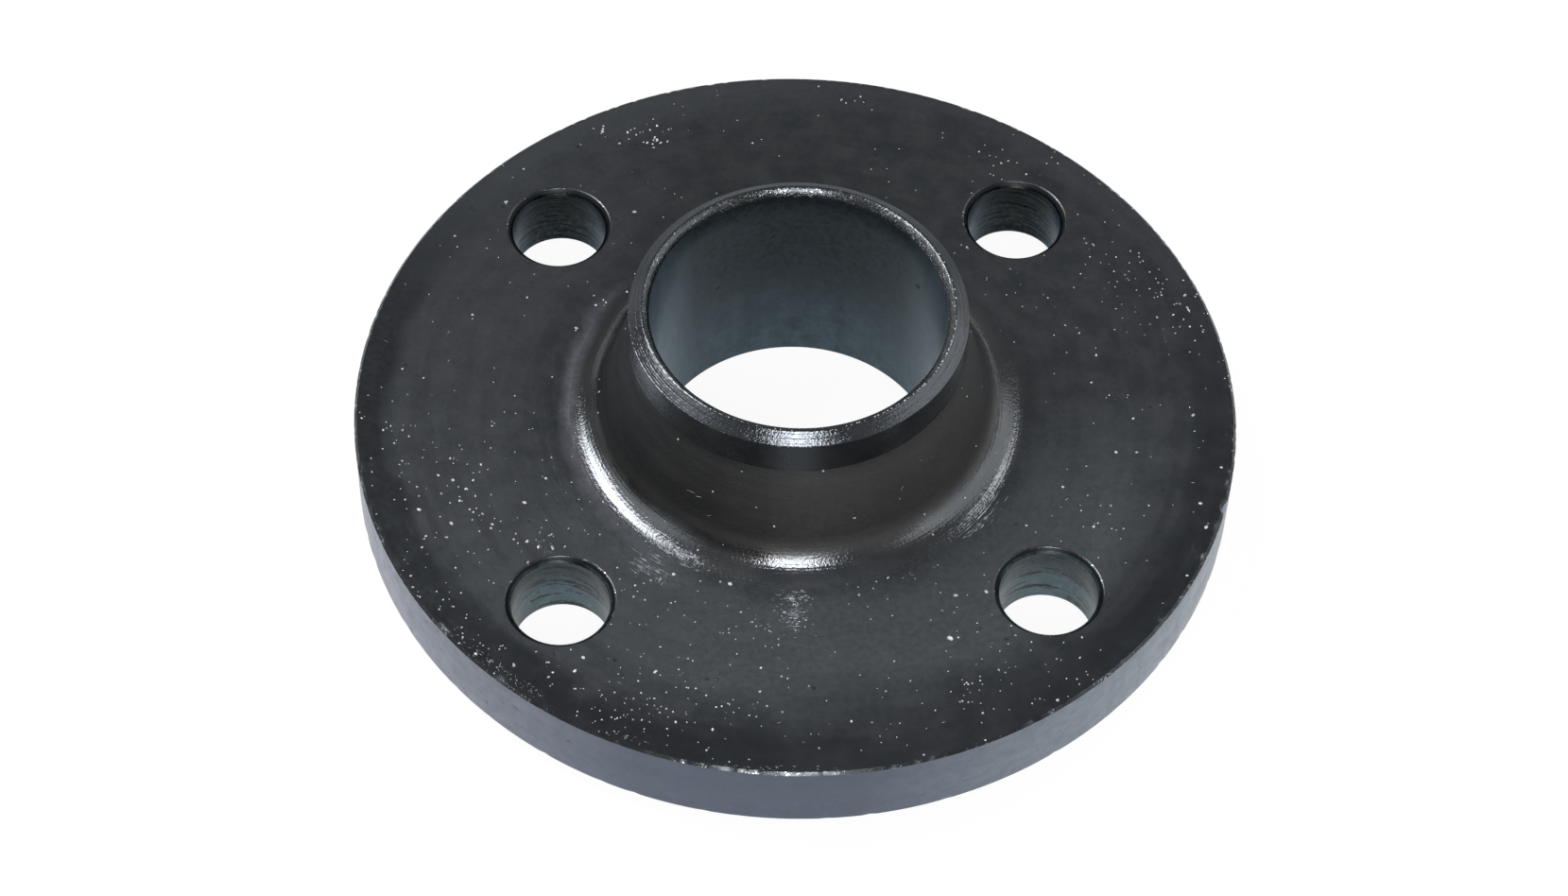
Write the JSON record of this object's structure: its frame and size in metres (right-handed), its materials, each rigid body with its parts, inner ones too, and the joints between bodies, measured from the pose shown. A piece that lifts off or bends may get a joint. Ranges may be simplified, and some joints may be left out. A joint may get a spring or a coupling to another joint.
{
  "type": "weld neck flange",
  "caption": "Weld neck pipe flange with a round bolted plate, raised sealing face, tapered neck and bevelled end for welding to a pipe.",
  "frame": {"origin": "centre of the raised sealing face, on the axis of the bore", "axes": "+Z along the bore axis, from the sealing face towards the weld end; the bolt holes straddle X and Y at 45 degrees"},
  "size_m": [0.165, 0.165, 0.0468],
  "materials": {
    "black_steel": "satin black coating over turned steel"
  },
  "bodies": {
    "root": {"flange": "black_steel"}
  },
  "joints": []
}
